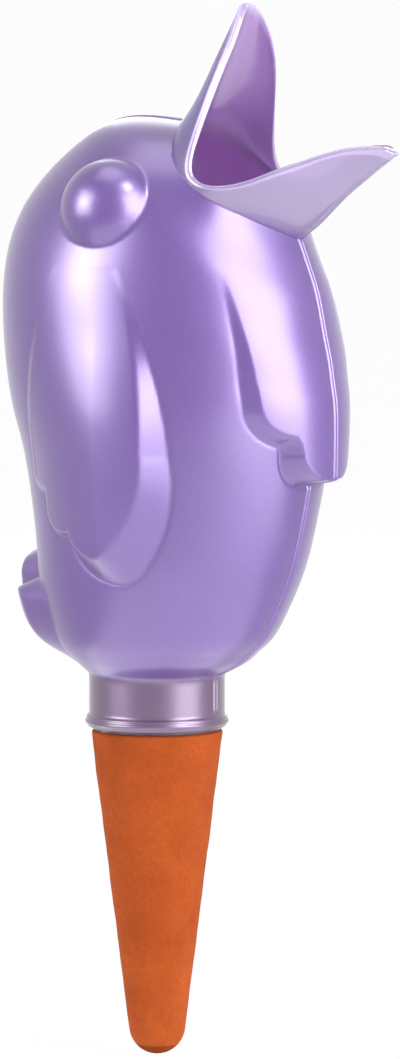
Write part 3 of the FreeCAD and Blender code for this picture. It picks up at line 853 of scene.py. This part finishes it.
def mix_colour(tree, share, first, second, blend="MIX"):
    """Mix of two colours, each a triple or a socket; share is a number or a socket."""
    first, second = ((*colour, 1.0) if isinstance(colour, tuple) else colour
                     for colour in (first, second))
    return node(tree, "ShaderNodeMix", {"data_type": "RGBA", "blend_type": blend},
                i0=share, i6=first, i7=second).outputs[2]


def calculate(tree, operation, first, second=0.0, clamp=False):
    """Math node on two numbers or sockets."""
    made = node(tree, "ShaderNodeMath", {"operation": operation, "use_clamp": clamp},
                i0=first, i1=second)
    return made.outputs[0]


def between(tree, share, low, high):
    """Value that runs from low to high as the share runs from nought to one."""
    return node(tree, "ShaderNodeMapRange", Value=share, To_Min=low, To_Max=high).outputs[0]


def smooth_step(tree, value, start, end):
    """Nought before the start and one past the end, with both bends rounded."""
    return node(tree, "ShaderNodeMapRange", {"interpolation_type": "SMOOTHSTEP"},
                Value=value, From_Min=start, From_Max=end).outputs[0]


def noise(tree, place, scale, detail, roughness=0.5):
    """Noise at a place; its scale is about the number of waves per metre."""
    return node(tree, "ShaderNodeTexNoise", Vector=place, Scale=scale, Detail=detail,
                Roughness=roughness).outputs[0]


def share_of(tree, name):
    """One of the shells' point attributes."""
    return node(tree, "ShaderNodeAttribute", {"attribute_name": name}).outputs["Fac"]


def set_inputs(shader, values):
    """Uniform values on the shader's own sockets."""
    for name, value in values.items():
        shader.inputs[name].default_value = value


def mix_shaders(tree, share, first, second, output):
    """Mix of two surfaces, linked to the output."""
    made = node(tree, "ShaderNodeMixShader", i0=share, i1=first, i2=second)
    tree.links.new(made.outputs[0], output.inputs["Surface"])

# %% [markdown]
# ### Pearly violet plastic
# The plastic is dyed violet and filled with fine pearl flakes, so it shines softly like
# satin metal. A partly metallic shader with a medium roughness gives the broad highlights,
# a thin coat gives the small bright ones, and a fine noise breaks the surface up the way
# flakes do. The beak is thinner and clearer, so light passes through it, less so on the
# outside of its upper half, which is painted a deeper violet as painted shade. The inner
# skin is painted a pale pink violet, a painted glow of light through the wall, and the rim
# of the beak is painted lighter, a painted highlight. The neck is painted darker, a painted
# shade for the clay spigot that stands behind it.

# %% Pearl plastic
# where the outside of the beak above the mouth is painted darker as shade, and where the
# neck's painted shade ends, in metres
UPPER_START, UPPER_END, NECK_START, NECK_END = 0.078, 0.092, 0.0140, 0.0130
UPPER_SHADE_OPACITY, NECK_METAL = 0.28, 0.7
pearl, tree, shader = new_finish("pearl_plastic_violet")
place = node(tree, "ShaderNodeTexCoord").outputs["Object"]
height = node(tree, "ShaderNodeSeparateXYZ", Vector=place).outputs["Z"]
beak_share, inside_share, rim_highlight_share = (
    share_of(tree, name) for name in ("beak", "inside", "rim"))
above_mouth = node(tree, "ShaderNodeVectorMath", {"operation": "DOT_PRODUCT"},
                   i0=place, i1=tuple(MOUTH_UP)).outputs["Value"]
upper_share = smooth_step(tree, above_mouth, UPPER_START, UPPER_END)
neck_share = smooth_step(tree, height, NECK_START, NECK_END)
cloud, flakes = noise(tree, place, 28.0, 3.0), noise(tree, place, 2200.0, 2.0)

violet = ramp(tree, cloud, [(0.3, (0.068, 0.022, 0.172)), (0.7, (0.082, 0.030, 0.192))])
glints = ramp(tree, flakes, [(0.35, (0.84, 0.84, 0.86)), (0.68, (1.16, 1.16, 1.14))])
violet = mix_colour(tree, 0.8, violet, glints, "MULTIPLY")
# painted light: the inner skin is painted a pale pink violet, the glow of light coming through
# the wall
violet = mix_colour(tree, inside_share, violet, (0.86, 0.58, 0.98))
# painted shade: the outside of the beak's upper half is painted a deeper violet, as shade
beak_outside = mix_colour(tree, upper_share, (0.195, 0.135, 0.31), (0.09, 0.052, 0.23))
beak_violet = mix_colour(tree, inside_share, beak_outside, (0.27, 0.14, 0.37))
colour = mix_colour(tree, beak_share, violet, beak_violet)
# painted highlight: the rows at the beak's rim are painted lighter, for the bright lines along
# the rim
colour = mix_colour(tree, rim_highlight_share, colour, (0.36, 0.28, 0.50))
# painted shade: the neck is painted darker, for the shade of the clay spigot behind its thin
# wall
colour = mix_colour(tree, neck_share, colour, (0.078, 0.038, 0.098))
tree.links.new(colour, shader.inputs["Base Color"])

metal = between(tree, beak_share, 0.47, 0.0)
metal = calculate(tree, "SUBTRACT", metal, inside_share, True)
neck_metal = calculate(tree, "MULTIPLY", neck_share, NECK_METAL)
tree.links.new(calculate(tree, "MAXIMUM", metal, neck_metal), shader.inputs["Metallic"])
tree.links.new(between(tree, beak_share, 0.42, 0.12), shader.inputs["Roughness"])
# the painted shade above the mouth also lets less light through and takes less coat
upper_outside = calculate(tree, "SUBTRACT", upper_share, inside_share, True)
upper_outside = calculate(tree, "MULTIPLY", upper_outside, beak_share)
shade_opacity = calculate(tree, "MULTIPLY", upper_outside, UPPER_SHADE_OPACITY)
clear = calculate(tree, "SUBTRACT", between(tree, beak_share, 0.0, 0.5), shade_opacity, True)
tree.links.new(clear, shader.inputs["Transmission Weight"])
tree.links.new(between(tree, upper_outside, 1.0, 0.15), shader.inputs["Coat Weight"])
set_inputs(shader, {"IOR": 1.6, "Coat Roughness": 0.28, "Coat IOR": 1.65,
                    "Subsurface Weight": 0.2, "Subsurface Radius": (1.0, 0.6, 1.2),
                    "Subsurface Scale": 0.002})
bump = node(tree, "ShaderNodeBump", Strength=0.05, Distance=0.0002, Height=flakes)
tree.links.new(bump.outputs[0], shader.inputs["Normal"])
for half in (right_half, left_half):
    half.data.materials.append(pearl)
print("finish:", pearl.name)

# %% [markdown]
# ### Terracotta
# Unglazed clay is matt, with a warm orange colour that varies softly and a fine sandy
# grain. A broad noise gives the colour, cells give small dark specks, and a fine noise
# gives both the grain and the bump.

# %% Terracotta
clay, tree, shader = new_finish("terracotta_clay")
place = node(tree, "ShaderNodeTexCoord").outputs["Object"]
broad, fine = noise(tree, place, 70.0, 5.0, 0.6), noise(tree, place, 900.0, 6.0, 0.7)
speck = node(tree, "ShaderNodeTexVoronoi", Vector=place, Scale=520.0).outputs[0]
base = ramp(tree, broad, [(0.3, (0.188, 0.031, 0.004)), (0.7, (0.242, 0.046, 0.007))])
grain = ramp(tree, fine, [(0.35, (0.80, 0.80, 0.80)), (0.65, (1.12, 1.1, 1.08))])
base = mix_colour(tree, 0.6, base, grain, "MULTIPLY")
dots = ramp(tree, speck, [(0.05, (0.72, 0.66, 0.62)), (0.16, (1.0, 1.0, 1.0))])
base = mix_colour(tree, 0.35, base, dots, "MULTIPLY")
tree.links.new(base, shader.inputs["Base Color"])
set_inputs(shader, {"Roughness": 0.88, "Specular IOR Level": 0.12})
bump = node(tree, "ShaderNodeBump", Strength=0.35, Distance=0.00025, Height=fine)
tree.links.new(bump.outputs[0], shader.inputs["Normal"])
cone.data.materials.append(clay)

# %% [markdown]
# ### Clear sealant
# Set silicone is clear with a faint haze, so it transmits light and has a soft gloss. Its dark
# mauve colour is painted shade for the gap under the neck's lip.

# %% Sealant finish
silicone, tree, shader = new_finish("clear_sealant")
place = node(tree, "ShaderNodeTexCoord").outputs["Object"]
haze = noise(tree, place, 300.0, 3.0)
# painted shade: the sealant is coloured dark mauve, the shade in the gap between neck and cone
gap_shade_tint = ramp(tree, haze, [(0.3, (0.15, 0.085, 0.11)), (0.7, (0.21, 0.13, 0.16))])
tree.links.new(gap_shade_tint, shader.inputs["Base Color"])
set_inputs(shader, {"Roughness": 0.22, "Transmission Weight": 0.35, "IOR": 1.41})
sealant.data.materials.append(silicone)

# %% [markdown]
# ## Floor, light and camera
# The globe stands upright over a plain pale floor, as its cone would stand in the soil.
# Large soft lights stand to both sides, above and behind. One shines into the open beak,
# a small one in front of the left light brightens the middle of its highlights, and two
# just above the floor lift the underside. The camera sees a white background through the
# world and the floor, but neither throws more light on the object than a pale room would.

# %% Floor and world
def white_for_camera(tree):
    """One for rays of the camera and rays in gloss and glass, nought for all others:
    the camera, glossy and transmission answers of Light Path, added and held at one."""
    path = tree.nodes.new("ShaderNodeLightPath")
    seen = calculate(tree, "ADD", path.outputs["Is Camera Ray"],
                     path.outputs["Is Glossy Ray"])
    return calculate(tree, "ADD", seen, path.outputs["Is Transmission Ray"], True)


FLOOR_SIZE, FLOOR_GAP, FLOOR_WHITE = 40.0, 0.5, 0.97
lowest = (CONE_BOTTOM - FLOOR_GAP) * MM
bpy.ops.mesh.primitive_plane_add(size=FLOOR_SIZE, location=(0, 0, lowest))
floor = bpy.context.object
floor.name = "floor"
paper, tree, shader = new_finish("pale_floor")
set_inputs(shader, {"Base Color": (0.88, 0.88, 0.88, 1), "Roughness": 0.9,
                    "Specular IOR Level": 0.1})
glow = node(tree, "ShaderNodeEmission", Color=(1, 1, 1, 1), Strength=1.0)
output = next(item for item in tree.nodes if item.type == "OUTPUT_MATERIAL")
mix_shaders(tree, calculate(tree, "MULTIPLY", white_for_camera(tree), FLOOR_WHITE),
            shader.outputs[0], glow.outputs[0], output)
floor.data.materials.append(paper)

world = bpy.data.worlds.new("pale_room")
bpy.context.scene.world = world
world.use_nodes = True
tree = world.node_tree
tree.nodes.clear()
room = node(tree, "ShaderNodeBackground", Color=(0.92, 0.92, 1.0, 1), Strength=0.20)
white = node(tree, "ShaderNodeBackground", Color=(1, 1, 1, 1), Strength=1.0)
mix_shaders(tree, white_for_camera(tree), room.outputs[0], white.outputs[0],
            tree.nodes.new("ShaderNodeOutputWorld"))

# %% Lights
BODY_MIDDLE, EYE_LEVEL = (0.0, 0.0, 0.08), (0.0, 0.0, 0.12)
# name, place in metres, point aimed at, width and height, power in watts
LIGHTS = [
    ("left_light", (-0.77, -1.06, 0.47), BODY_MIDDLE, (0.90, 1.05), 18.5),
    ("right_light", (1.22, -0.16, 0.42), BODY_MIDDLE, (1.0, 1.05), 29.0),
    ("mouth_light", (0.85, -0.10, 1.15), BODY_MIDDLE, (0.35, 0.35), 9.0),
    ("top_light", (-0.05, 0.0, 1.35), BODY_MIDDLE, (0.8, 0.8), 4.5),
    ("back_light", (-0.6, 1.25, 0.5), BODY_MIDDLE, (0.7, 0.9), 4.0),
    ("small_left_light", (-0.72, -0.96, 0.46), EYE_LEVEL, (0.34, 0.30), 3.4),
    ("low_light", (0.09, -0.15, -0.082), (0.09, -0.15, 1.0), (0.42, 0.42), 0.66),
    ("low_right_light", (0.62, -0.12, -0.082), (0.62, -0.12, 1.0), (0.55, 0.6), 3.3),
]


def soft_light(name, place, aim, size, power):
    """Rectangular area light, turned towards the point aimed at and hidden from the
    camera itself."""
    lamp = bpy.data.lights.new(name, "AREA")
    lamp.shape = "RECTANGLE"
    lamp.size, lamp.size_y = size
    lamp.energy = power
    lamp_object = bpy.data.objects.new(name, lamp)
    bpy.context.scene.collection.objects.link(lamp_object)
    lamp_object.visible_camera = False
    way = Vector(aim) - Vector(place)
    lamp_object.matrix_world = (Matrix.Translation(place)
                                @ way.to_track_quat("-Z", "Y").to_matrix().to_4x4())


for light in LIGHTS:
    soft_light(*light)
print(len(LIGHTS), "lights")

# %% [markdown]
# ## Camera
# The camera looks from the front right, a little from above, through a long lens from
# 2.2 m away, and the object fills the picture's height.

# %% Camera
AZIMUTH, ELEVATION, DISTANCE = math.radians(30.0), math.radians(5.3), 2.2
FOCAL_PIXELS, PICTURE_HEIGHT, SENSOR = 8646.0, 1059.0, 36.0
TARGET, SHIFT_RIGHT, SHIFT_UP = Vector((0.008, 0, 0.050)), 0.00405, 0.00076
camera_data = bpy.data.cameras.new("camera")
camera = bpy.data.objects.new("camera", camera_data)
bpy.context.scene.collection.objects.link(camera)
bpy.context.scene.camera = camera
camera_data.sensor_width = SENSOR
camera_data.lens = FOCAL_PIXELS * SENSOR / PICTURE_HEIGHT
right = Vector((math.cos(AZIMUTH), math.sin(AZIMUTH), 0))
back = Vector((math.sin(AZIMUTH) * math.cos(ELEVATION),
               -math.cos(AZIMUTH) * math.cos(ELEVATION), math.sin(ELEVATION)))
upward = back.cross(right)
target = TARGET + right * SHIFT_RIGHT + upward * SHIFT_UP
camera.matrix_world = Matrix.Translation(target + back * DISTANCE) @ Matrix(
    (right, upward, back)).transposed().to_4x4()
camera_data.clip_start, camera_data.clip_end = 0.1, 50.0
bpy.context.scene.view_settings.view_transform = "Standard"
print("lens in mm:", round(camera_data.lens, 1))

# %% Update the view layer
bpy.context.view_layer.update()
